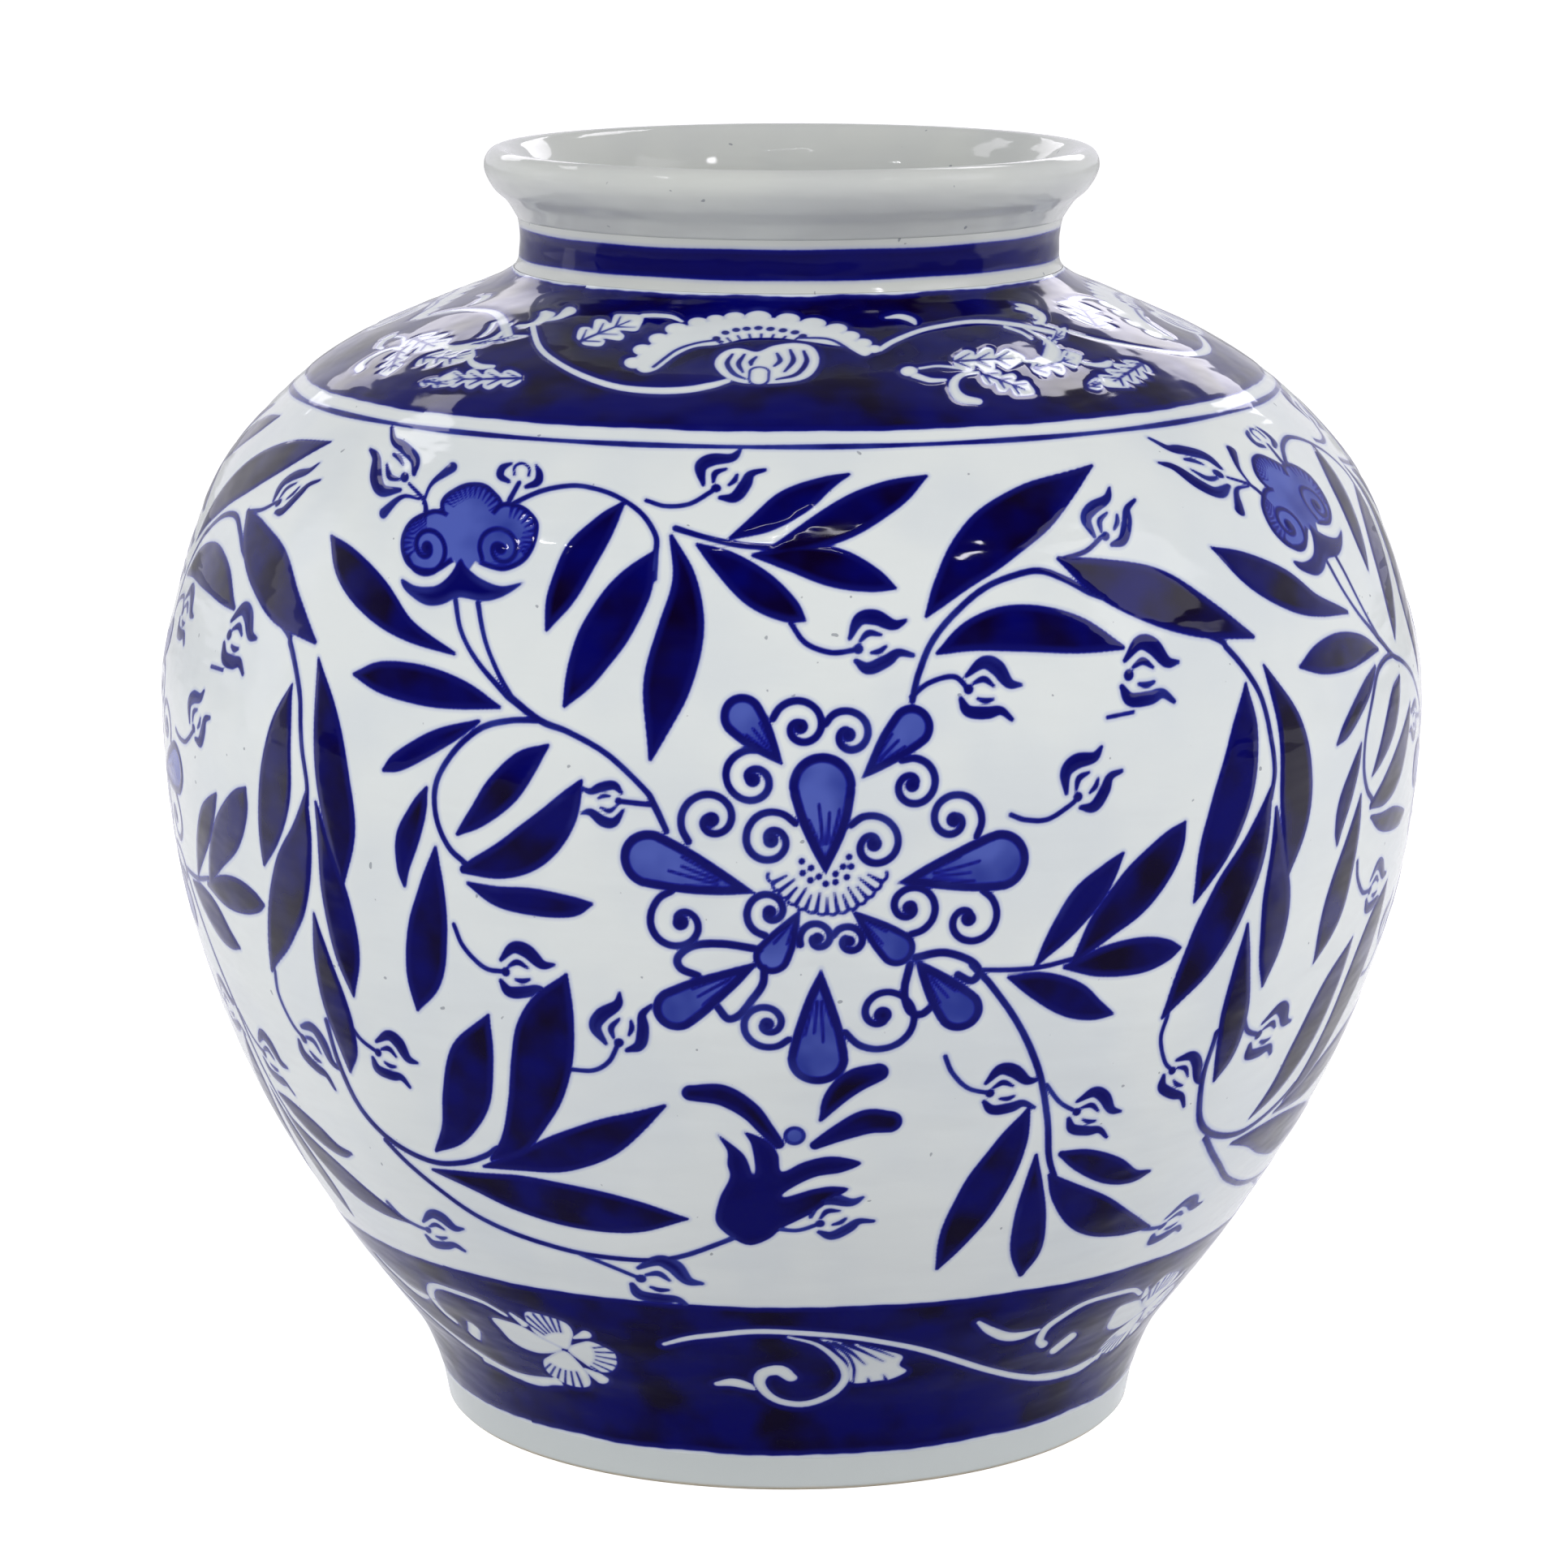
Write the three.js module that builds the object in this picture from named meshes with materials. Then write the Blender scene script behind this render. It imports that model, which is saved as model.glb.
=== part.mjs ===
// Talavera pottery vase: a round-bellied jar thrown on the wheel in sections, which were luted
// together with stepped joints, glazed and fired. Millimetres, +Z up, origin on the axis of the
// vase at the level of the table. Every section is a solid of revolution about Z.
import * as THREE from 'three';

// ---- driving dimensions ----
const FOOT_RADIUS = 78.6; // outside of the foot where it meets the table
const BELLY_RADIUS = 141.6;
const BELLY_Z = 160;
const NECK_RADIUS = 60; // outside of the neck at its waist
const LIP_RADIUS = 68.3; // outside of the rolled lip
const VASE_HEIGHT = 286;
const BODY_WALL = 6.5;
const NECK_WALL = 4.8;

// ---- foot and floor ----
const FOOT_HEIGHT = 8; // top of the turned foot ring
const FOOT_TOP_RADIUS = 79.9;
const FOOT_BEVEL = 1; // bevel round the edge that the vase stands on
const RECESS_RADIUS = 69.5; // hollow under the floor
const RECESS_DEPTH = 6;
const FLOOR_THICKNESS = 8;
const FLOOR_RADIUS = 74.2;

// ---- joints and facets ----
const GAP = 0.3; // room left for the slip in each luted joint
const STEP = 5; // height of the step in the belly joint
const COLLAR_Z = 259.5; // joint between shoulder and collar
const LIP_Z = 270.5; // joint between collar and lip coil
const LIP_STEP = 3;
const AROUND = 60; // facets round the vase
const BODY_POINTS = 10; // facets up each half of the body
const LIP_POINTS = 20; // facets over the flare and the lip

const glaze = () => new THREE.MeshStandardMaterial({ color: '#e4e9ec', roughness: 0.12, metalness: 0 });
const bareClay = () => new THREE.MeshStandardMaterial({ color: '#d9cdb8', roughness: 0.8, metalness: 0 });

const at = (radius, z) => new THREE.Vector2(radius, z);

// One closed ring or disc, revolved about Z. The outline runs anticlockwise in (radius, z).
function turned(name, outline, material) {
  const closed = [...outline, outline[0].clone()];
  const geometry = new THREE.LatheGeometry(closed, AROUND);
  geometry.rotateX(Math.PI / 2);
  const mesh = new THREE.Mesh(geometry, material);
  mesh.name = name;
  return mesh;
}

// Outside of the body from the top of the foot to the collar. The belly is the middle station.
const BODY_CURVE = new THREE.SplineCurve([
  at(FOOT_TOP_RADIUS, FOOT_HEIGHT),
  at(85.6, 22),
  at(102.5, 45),
  at(122.8, 80),
  at(136.9, 120),
  at(BELLY_RADIUS, BELLY_Z),
  at(138.9, 183),
  at(127.2, 214.5),
  at(105.4, 237.4),
  at(83.4, 249.2),
  at(66.2, 256.2),
]);

// Points along the body's curve between two fractions of it, moved in from the outside by a
// depth square to the surface.
function bodyFace(from, to, depth) {
  const points = [];
  for (let i = 0; i <= BODY_POINTS; i += 1) {
    const along = from + ((to - from) * i) / BODY_POINTS;
    const tangent = BODY_CURVE.getTangent(along);
    const point = BODY_CURVE.getPoint(along);
    points.push(at(point.x - depth * tangent.y, point.y + depth * tangent.x));
  }
  return points;
}

// Turned ring that the vase stands on, with a ledge inside for the floor.
function footRing() {
  const ledgeRadius = FLOOR_RADIUS + GAP;
  const ledgeZ = RECESS_DEPTH - GAP;
  return turned('foot_ring', [
    at(RECESS_RADIUS + FOOT_BEVEL, 0),
    at(FOOT_RADIUS - FOOT_BEVEL, 0),
    at(FOOT_RADIUS, FOOT_BEVEL),
    at(FOOT_TOP_RADIUS, FOOT_HEIGHT),
    at(ledgeRadius, FOOT_HEIGHT),
    at(ledgeRadius, ledgeZ),
    at(RECESS_RADIUS, ledgeZ),
    at(RECESS_RADIUS, FOOT_BEVEL),
  ], bareClay());
}

// Flat floor of the vase, seated on the ledge of the foot ring.
function baseDisc() {
  const geometry = new THREE.CylinderGeometry(FLOOR_RADIUS, FLOOR_RADIUS, FLOOR_THICKNESS, AROUND);
  geometry.rotateX(Math.PI / 2);
  const mesh = new THREE.Mesh(geometry, glaze());
  mesh.name = 'base_disc';
  mesh.position.z = RECESS_DEPTH + FLOOR_THICKNESS / 2;
  return mesh;
}

// Lower half of the body, open above, with the raised inner half of the belly joint on its edge.
function lowerBody() {
  const outside = bodyFace(0, 0.5, 0);
  outside[0].y += GAP;
  const inside = bodyFace(0, 0.5, BODY_WALL).slice(1, -1).reverse();
  const wellRadius = FLOOR_RADIUS + GAP;
  const floorTop = RECESS_DEPTH + FLOOR_THICKNESS;
  return turned('lower_body', [
    ...outside,
    at(BELLY_RADIUS - BODY_WALL / 2, BELLY_Z),
    at(BELLY_RADIUS - BODY_WALL / 2, BELLY_Z + STEP),
    at(BELLY_RADIUS - BODY_WALL, BELLY_Z + STEP),
    ...inside,
    at(wellRadius, floorTop),
    at(wellRadius, FOOT_HEIGHT + GAP),
  ], glaze());
}

// Upper half of the body and the shoulder, closing in to the opening that holds the collar.
function upperBody() {
  const outside = bodyFace(0.5, 1, 0);
  outside[0].y += GAP;
  const inside = bodyFace(0.5, 1, BODY_WALL).slice(1).reverse();
  const openingRadius = NECK_RADIUS - NECK_WALL / 2 + GAP;
  const seatZ = BELLY_Z + STEP + GAP;
  return turned('upper_body', [
    ...outside,
    at(NECK_RADIUS + 2.6, 258.2),
    at(NECK_RADIUS + 1.2, COLLAR_Z),
    at(openingRadius, COLLAR_Z),
    at(openingRadius, inside[0].y),
    ...inside,
    at(BELLY_RADIUS - BODY_WALL, seatZ),
    at(BELLY_RADIUS - BODY_WALL / 2 + GAP, seatZ),
    at(BELLY_RADIUS - BODY_WALL / 2 + GAP, BELLY_Z + GAP),
  ], glaze());
}

// Upright collar, set into the shoulder by the sleeve below its outer edge.
function neckCollar() {
  const sleeveRadius = NECK_RADIUS - NECK_WALL / 2;
  const innerRadius = NECK_RADIUS - NECK_WALL;
  return turned('neck_collar', [
    at(innerRadius + 1, 251.5),
    at(sleeveRadius, 251.5),
    at(sleeveRadius, COLLAR_Z + GAP),
    at(NECK_RADIUS + 1.1, COLLAR_Z + GAP),
    at(NECK_RADIUS + 0.3, 261.4),
    at(NECK_RADIUS, 264),
    at(NECK_RADIUS, 267),
    at(NECK_RADIUS + 0.7, LIP_Z),
    at(sleeveRadius + 0.7, LIP_Z),
    at(sleeveRadius + 0.7, LIP_Z + LIP_STEP),
    at(innerRadius + 0.7, LIP_Z + LIP_STEP),
    at(innerRadius, 264),
  ], glaze());
}

// Coil that carries the flare above the neck and the rolled lip.
function rimLip() {
  const seatRadius = NECK_RADIUS - NECK_WALL / 2 + 0.7 + GAP;
  const roll = new THREE.SplineCurve([
    at(NECK_RADIUS + 0.8, LIP_Z + GAP),
    at(63.1, 274.4),
    at(65.6, 276.6),
    at(67.4, 279.2),
    at(LIP_RADIUS, 281.9),
    at(67.7, 284.4),
    at(65.6, VASE_HEIGHT),
    at(62.6, 285),
    at(59.6, 281.7),
    at(57.2, 277.4),
    at(NECK_RADIUS - NECK_WALL + 0.8, LIP_Z + LIP_STEP + GAP),
  ]).getPoints(LIP_POINTS);
  return turned('rim_lip', [
    ...roll,
    at(seatRadius, LIP_Z + LIP_STEP + GAP),
    at(seatRadius, LIP_Z + GAP),
  ], glaze());
}

const vase = new THREE.Group();
vase.add(footRing(), baseDisc(), lowerBody(), upperBody(), neckCollar(), rimLip());

export default vase;
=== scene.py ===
"""Looks of the talavera vase: its fine surface, its glaze and its cobalt painting.

The painting is laid out on an unrolled quarter of the wall, in millimetres: x runs round the
vase from the quarter's middle, and s up the outside from the table. The painter turns each brush
mark into numbers on the wall's points: ink is the distance in from the nearest edge of dark
paint, wash is the same for thin paint, and load is how much cobalt the brush left. The glaze
material turns these into colour, and thick paint also stands proud of the wall.
"""
import math

import bpy
import numpy as np
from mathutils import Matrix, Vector


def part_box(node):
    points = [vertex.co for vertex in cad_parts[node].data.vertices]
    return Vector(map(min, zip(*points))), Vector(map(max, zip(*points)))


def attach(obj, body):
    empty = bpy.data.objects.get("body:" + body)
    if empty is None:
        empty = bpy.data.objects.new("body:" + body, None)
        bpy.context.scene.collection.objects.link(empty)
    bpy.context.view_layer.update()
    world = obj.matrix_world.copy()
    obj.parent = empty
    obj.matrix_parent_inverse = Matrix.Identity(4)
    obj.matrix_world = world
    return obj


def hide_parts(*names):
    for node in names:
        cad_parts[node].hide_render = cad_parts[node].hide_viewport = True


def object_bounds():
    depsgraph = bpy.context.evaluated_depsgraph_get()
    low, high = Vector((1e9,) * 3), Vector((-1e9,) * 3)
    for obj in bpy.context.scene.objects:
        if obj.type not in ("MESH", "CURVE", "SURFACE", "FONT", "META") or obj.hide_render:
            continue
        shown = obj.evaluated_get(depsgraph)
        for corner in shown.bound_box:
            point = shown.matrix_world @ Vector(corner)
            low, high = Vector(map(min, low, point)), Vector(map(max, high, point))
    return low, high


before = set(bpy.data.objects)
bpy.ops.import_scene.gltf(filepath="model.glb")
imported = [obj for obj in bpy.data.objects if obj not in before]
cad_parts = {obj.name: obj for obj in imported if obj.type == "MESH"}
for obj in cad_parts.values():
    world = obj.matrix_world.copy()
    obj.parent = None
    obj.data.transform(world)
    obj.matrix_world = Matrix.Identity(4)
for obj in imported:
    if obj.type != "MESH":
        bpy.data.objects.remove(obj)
CAD_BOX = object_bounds()
SCENE = bpy.context.scene

MM = 0.001
QUARTER = math.pi / 2
GRID = 0.5  # spacing of the wall's points, outside
EDGE_LIMIT = 3.0  # distances from an edge of paint are kept up to this
RELIEF = 0.16  # how far thick paint stands proud
THROWING = 0.09  # height of the faint rings and swells that the wheel left
GAP = 0.3  # what the CAD keeps between two sections
FLOOR_JOINT_Z = 30  # below this the inside of the wall stays outside the floor disc
RING_LOAD = 1.15  # cobalt on the painted ring of the neck
COPY_REACH = 0.62 * QUARTER  # how far round a copy of the painting goes from its middle
WHITE = (1.0, 1.0, 1.0, 1.0)
BLACK = (0.0, 0.0, 0.0, 1.0)

# ---- sections of the CAD nodes


def section(node):
    """The closed outline that a CAD node was turned from, as (radius, height), anticlockwise."""
    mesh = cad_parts[node].data
    corner = {}
    for v in mesh.vertices:
        if v.co.x > 0 and abs(v.co.y) < 1e-6:
            corner[v.index] = (round(v.co.x / MM, 2), round(v.co.z / MM, 2))
    links = {c: set() for c in corner.values()}
    for e in mesh.edges:
        a, b = (corner.get(i) for i in e.vertices)
        if a and b and a != b:
            links[a].add(b)
            links[b].add(a)
    loose = sorted((c for c in links if len(links[c]) == 1), key=lambda c: (c[1], c[0]))
    for a, b in zip(loose[::2], loose[1::2], strict=True):
        links[a].add(b)
        links[b].add(a)
    walk = [min(links, key=lambda c: (c[1], -c[0]))]
    while ahead := [c for c in links[walk[-1]] if c not in walk]:
        walk.append(ahead[0])
    loop = np.array(walk)
    r, z = loop.T
    return loop if (r * np.roll(z, -1) - np.roll(r, -1) * z).sum() > 0 else loop[::-1]


def spline(points, per=8):
    """A Catmull-Rom curve through the points, with per straight bits between neighbours."""
    p = np.asarray(points, float)
    if len(p) < 3:
        t = np.linspace(0, 1, per + 1)[:, None]
        return p[0] + (p[1] - p[0]) * t
    p = np.vstack([2 * p[0] - p[1], p, 2 * p[-1] - p[-2]])
    a, b, c, d = (p[i:len(p) - 3 + i, None] for i in range(4))
    t = np.linspace(0, 1, per, endpoint=False)[None, :, None]
    bits = 0.5 * (2 * b + (c - a) * t + (2 * a - 5 * b + 4 * c - d) * t**2
                  + (3 * b - a - 3 * c + d) * t**3)
    return np.vstack([bits.reshape(-1, p.shape[1]), p[-2:-1]])


def direction(degrees):
    a = math.radians(degrees)
    return np.array([math.cos(a), math.sin(a)])


def axes(start, end):
    """A point, the vector from it to another, and the unit vector square to that."""
    start = np.array(start, float)
    along = end - start
    return start, along, np.array([-along[1], along[0]]) / np.hypot(*along)


def length_along(line):
    return np.concatenate([[0], np.cumsum(np.hypot(*np.diff(line[:, :2], axis=0).T))])


def even(line, step):
    """The same line with its points evenly spaced, about step apart."""
    along = length_along(line)
    n = max(2, round(along[-1] / step) + 1)
    where = np.linspace(0, along[-1], n)
    return np.column_stack([np.interp(where, along, column) for column in line.T])


def disc_section(node, dish=0.8):
    """The section of a solid disc that is slightly dished on top."""
    low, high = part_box(node)
    r, bottom, top = high.x / MM, low.z / MM, high.z / MM
    rise = [(r * k / 8, top - dish * (1 - (k / 8) ** 2)) for k in range(8, -1, -1)]
    return np.array([(0, bottom), (r, bottom), *rise])


def glazed_over(loop):
    """The collar's section, run over the thin gaps that the CAD keeps at its two joints."""
    base, lip = BODY[-1][1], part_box("rim_lip")[0].z / MM
    low, high = loop[:, 1].min(), loop[:, 1].max()
    z = np.interp(loop[:, 1], (low, base + GAP, lip - GAP, high), (low, base, lip, high))
    return np.column_stack([loop[:, 0], z])


def turned_outline(loop, step, sharp=math.radians(32), ease=0.08):
    """A section with its round stretches made smooth and its sharp corners slightly eased."""
    before = loop - np.roll(loop, 1, axis=0)
    after = np.roll(loop, -1, axis=0) - loop
    cross = before[:, 0] * after[:, 1] - before[:, 1] * after[:, 0]
    turn = np.abs(np.arctan2(cross, (before * after).sum(axis=1)))
    corners = list(np.flatnonzero(turn > sharp))
    if not corners:
        return even(spline(np.vstack([loop, loop[:1]])), step)[:-1]
    outline = []
    for first, last in zip(corners, corners[1:] + [corners[0] + len(loop)], strict=True):
        line = spline(loop[[i % len(loop) for i in range(first, last + 1)]])
        along = length_along(line)
        room = min(ease, along[-1] / 3)
        inner = np.linspace(room, along[-1] - room, max(2, round(along[-1] / step) + 1))
        outline.append(np.column_stack([np.interp(inner, along, c) for c in line.T]))
    return np.vstack(outline)


def stretch(loop, first, last):
    """The corners of a loop from one to another, going up its outer side."""
    return np.roll(loop, -first, axis=0)[:(last - first) % len(loop) + 1]


def body_outline():
    """The body's whole outside, from the top of the foot to the shoulder opening."""
    low, high = section("lower_body"), section("upper_body")
    foot = max(range(len(low)), key=lambda i: (-low[i][1], low[i][0]))
    mouth = max(range(len(high)), key=lambda i: (high[i][1], high[i][0]))
    lower = stretch(low, foot, int(low[:, 0].argmax()))
    upper = stretch(high, int(high[:, 0].argmax()), mouth)
    lower[0][1] -= GAP  # the glaze runs over the thin joint to the foot
    return even(spline(np.vstack([lower, upper[1:]])), 0.1)


BODY = body_outline()
FOOT_S = 8.1  # s where the body meets the foot
BODY_S = length_along(BODY) + FOOT_S
BODY_TOP_S = BODY_S[-1]
BODY_NORMAL = np.gradient(BODY, BODY_S, axis=0)[:, ::-1] * (1, -1)
WALL = 6.5
FLOOR_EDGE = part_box("base_disc")[1].x / MM + GAP
SLEEVE = max(r for r, z in section("neck_collar") if z < BODY[-1][1]) + GAP
RIM_Z = CAD_BOX[1].z / MM


def on_body(s):
    """The body's radius and height at s, and the radius and height of its outward normal."""
    return [np.interp(s, BODY_S, column) for column in (*BODY.T, *BODY_NORMAL.T)]


# How far the turning has wandered sideways at heights up the vase.
LEAN = spline([(0, 0), (60, 0.1), (165, 1), (225, -0.1), (243, -0.9), (262, 0.3), (RIM_Z, 1)])


def place(az, r, z):
    """Points in metres at an angle round the vase from its front, a radius and a height."""
    x = r * np.sin(az) + np.interp(z, LEAN[:, 0], LEAN[:, 1])
    return np.stack(np.broadcast_arrays(x, -r * np.cos(az), z), axis=-1) * MM


# ---- brush marks


class Mark:
    """One brush mark: its shape as a distance in from its edge, and what it does to the paint.

    It is a stroke with half-widths at its points, or a closed area when widths is None. One with
    a border is dark that far in, and a thin wash inside.
    """

    def __init__(self, points, widths, does="ink", load=0.6, border=0.0):
        self.does, self.load, self.border = "border" if border else does, load, border
        self.widths, reach = None, EDGE_LIMIT
        if widths is None:
            self.line = spline(np.vstack([points[-1:], points, points[:2]]), 5)[5:-5]
        else:
            widths = np.broadcast_to(widths, len(points))
            if len(points) == 1:
                points, widths = np.vstack([points, points]), np.repeat(widths, 2)
            path = spline(np.column_stack([points, widths]), 9 if len(points) < 12 else 4)
            self.line, self.widths = path[:, :2], np.maximum(path[:, 2], 0.12)
            reach += self.widths.max()
        self.low, self.high = self.line.min(axis=0) - reach, self.line.max(axis=0) + reach

    def depth(self, x, s):
        """Distance in from the mark's edge, negative outside."""
        best = np.full(x.shape, -1e9 if self.widths is not None else 1e9)
        inside = np.zeros(x.shape, bool)
        for k in range(len(self.line) - 1):
            (ax, ay), (bx, by) = self.line[k], self.line[k + 1]
            dx, dy = bx - ax, by - ay
            t = np.clip(((x - ax) * dx + (s - ay) * dy) / max(dx * dx + dy * dy, 1e-9), 0, 1)
            away = np.hypot(x - ax - t * dx, s - ay - t * dy)
            if self.widths is not None:
                a, b = self.widths[k:k + 2]
                best = np.maximum(best, a + t * (b - a) - away)
            else:
                best = np.minimum(best, away)
                if dy:
                    inside ^= ((ay > s) != (by > s)) & (x < ax + (s - ay) * dx / dy)
        return best if self.widths is not None else np.where(inside, best, -best)


MARKS = []


def stroke(points, widths, **how):
    MARKS.append(Mark(np.array(points, float), widths, **how))


def area(points, **how):
    stroke(points, None, **how)


def dot(x, s, r, **how):
    stroke([(x, s)], r, **how)


def leaf(points, widths, foot=0.5, tip=0.5):
    """A leaf laid with one loaded brush stroke: widths at its inner points, then at its ends."""
    stroke(points, (foot, *widths, tip), load=1.0)


def turned_points(points, at, angle, size):
    """Template points turned by an angle in degrees, scaled and moved."""
    c, s = size * direction(angle)
    return [(at[0] + c * u - s * v, at[1] + s * u + c * v) for u, v in points]


def bud(x, s, angle, stem=(), size=1.0, load=0.62):
    """A small open bud: two flame-shaped sepals with two arcs between, on a thin stem."""
    if stem:
        stroke([*stem, (x, s)], 0.6, load=load)
    dot(x, s, 1.1 * size, load=load)
    for points, widths in (
        ([(-1.3, 2.4), (1.4, 5.8), (4.5, 5.6), (7.9, 3.3), (10.6, 3.6)], (0.5, 1.35, 1.65, 1.15, 0.45)),
        ([(-1, -2.2), (1.2, -4.2), (5.1, -3.5), (7.8, -2.4), (10.6, -3.5)], (0.6, 1.3, 1.35, 0.95, 0.55)),
        ([(0.6, 1.4), (2.6, 2.7), (5, 1.9)], (0.4, 0.75, 0.4)),
        ([(2.4, -1.3), (4.1, -1.3), (5.6, -0.6)], (0.4, 0.65, 0.4)),
    ):
        stroke(turned_points(points, (x, s), angle, size), np.array(widths) * size, load=load)


def petal(tip, end, r, hairs):
    """A drop-shaped petal: a dark border, a thin wash inside and hair lines from its tip."""
    tip, along, across = axes(tip, end)
    line = [tip, tip + 0.35 * along, tip + 0.7 * along, end]
    stroke(line, (0.2, 0.45 * r, 0.8 * r, r), border=min(2.1, 0.42 * r), load=0.75)
    for k in range(hairs):
        side = (k - (hairs - 1) / 2) / hairs
        reach = 0.84 - 0.3 * abs(side) - 0.1 * (k % 2)
        foot = tip + 0.35 * along + across * side * 0.5 * r
        stroke([foot, tip + reach * along + across * side * 1.2 * r], (0.48, 0.42), load=1.0)


def scroll(eye, start, turn, width=0.84):
    """A thin tendril that winds from its start into a round eye, turning by so many degrees."""
    away = np.subtract(start, eye)
    reach, angle = math.hypot(*away), math.atan2(*away[::-1])
    points = []
    for u in np.linspace(0, 1, 17):
        r = reach + (1.0 - reach) * u**1.25
        a = angle + math.radians(turn) * u
        points.append(eye + r * np.array([math.cos(a), math.sin(a)]))
    stroke(points, width, load=0.7)
    dot(*eye, 0.85 + 0.13 * reach, load=0.8)


# ---- the painting, main field


def medallion():
    for tip, end, r, hairs in (
        ((6.7, 166.5), (6, 184.5), 6.8, 4), ((-2, 189), (-10, 198.5), 4.5, 3),
        ((14, 186.2), (23.8, 196), 4.6, 3), ((-7.5, 162.5), (-29, 169), 6.2, 4),
        ((21.2, 164.3), (42.5, 168), 6.3, 4), ((1.5, 158.8), (-4, 149), 3.9, 2),
        ((12, 158.8), (21.2, 150.5), 3.9, 2), ((-6.5, 147.8), (-23.5, 137), 5, 3),
        ((25, 148), (34.5, 136.2), 5, 3), ((5.8, 146.2), (5.5, 126), 6.3, 4),
    ):
        petal(tip, end, r, hairs)
    for eye, start, turn in (
        ((1.5, 196.5), (-4, 198), -400), ((11.2, 194.8), (6.5, 197), -400),
        ((-8, 186), (-6.5, 192), 450), ((-16.5, 177.5), (-21, 173), -430),
        ((24.2, 184.5), (22, 189.5), -440), ((32.7, 177), (37.5, 173.2), 440),
        ((-4.5, 173.5), (0.5, 177), 480), ((16.2, 172.5), (11.5, 176.5), -440),
        ((-22.8, 155.8), (-24.6, 162.4), 400), ((-4.7, 158.5), (-5.5, 153.5), -400),
        ((23.8, 159), (24, 153.2), 420), ((36, 156), (39, 162), -360),
        ((5, 152.8), (1.5, 151.5), -380), ((11.5, 152.2), (8.3, 153.5), -380),
        ((-5, 134), (-0.5, 130.5), -480), ((18.5, 135.7), (11, 132), 460),
    ):
        scroll(eye, start, turn)
    for points in (
        [(-6.5, 150.5), (-14, 151.5), (-20, 151), (-23, 148.5), (-22.5, 146), (-19, 144.5)],
        [(-5.5, 146.5), (-5.8, 143), (-8, 139.5), (-10.5, 136), (-13, 135), (-15, 137.5)],
        [(25, 148.3), (31, 149), (36.5, 147), (38.5, 144.5), (37, 142.5), (34, 144)],
        [(24, 147), (23, 141), (24, 136.5), (26.5, 135.5), (28.5, 137)],
    ):
        stroke(points, 0.92, load=0.7)
    shell((7, 171))


def shell(centre, scallops=14, near=8.6, far=12.6):
    """The fluted half-round under the middle petal, with a sprinkle of dots above it."""
    def out(share, reach):
        return centre + reach * direction(200 + 140 * share)
    steps = 6 * scallops
    edge = [out(k / steps, far + 0.5 * abs(math.sin(math.pi * scallops * k / steps)))
            for k in range(steps + 1)]
    stroke(edge, 0.42, load=0.7)
    for k in range(1, scallops):
        stroke([out(k / scallops, far), out(k / scallops, near + 0.9 * (k % 2))], (0.55, 0.3), load=0.7)
    for x, s in ((1.8, 169.2), (2, 166.8), (3.7, 167.8), (3.6, 165.3), (5.3, 166), (6.7, 164.5),
                 (8.7, 164.8), (8.7, 166.5), (10.2, 168), (11, 165.8), (11.3, 170), (11.8, 168)):
        dot(x, s, 0.76, load=0.7)


def buds():
    bud(-14.5, 247, 44, [(-29, 243.5), (-25, 242.3), (-20, 243), (-16, 245.8)])
    bud(13.5, 212, 11, [(0, 217.5), (3, 213.5), (8, 211.5), (12.5, 211.8)])
    bud(36, 203.3, -18, [(24, 202), (28, 205), (33, 206)])
    bud(71.7, 203.7, -12, size=1.15)
    stroke([(66.4, 195.5), (72.7, 196)], 0.5)
    bud(59.5, 180, 42, [(44.7, 177.3), (48, 176), (53, 175.8), (58, 178.5)])
    bud(68, 232.8, 60, [(57.5, 228.7), (63, 230), (67, 232.7)])
    bud(-87, 244.7, 137, size=1.2)
    bud(-35.5, 180.7, 182, [(-28.5, 180.2)], 0.75)
    bud(-35.5, 128.5, 71, [(-46, 121.2), (-41, 121.5), (-37.5, 124)])
    bud(-60.5, 142.3, -5, [(-72.7, 151.4), (-70.5, 146.8), (-65.5, 142.7)])
    bud(-94.5, 118.2, -22, [(-105.3, 130.5), (-104, 126.5), (-100, 121)])
    bud(-85.5, 69.2, -2, [(-98.5, 74.5), (-94, 71), (-89, 69.5)], load=0.3)
    bud(-31.5, 65.2, -20, [(-45, 70.8), (-39, 68.5)], 1.2, 0.35)
    bud(6.5, 83.5, 20, [(-2, 82), (2, 81.7)], load=0.2)
    bud(41.8, 115.8, -7, [(31.8, 125.5), (33.5, 121.5), (37, 117.5)])
    bud(62, 108.5, -27, [(54.5, 116.5), (58, 111.5)])
    bud(86, 115, -47, [(83.5, 129.5), (82, 124), (83.5, 118)])


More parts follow.
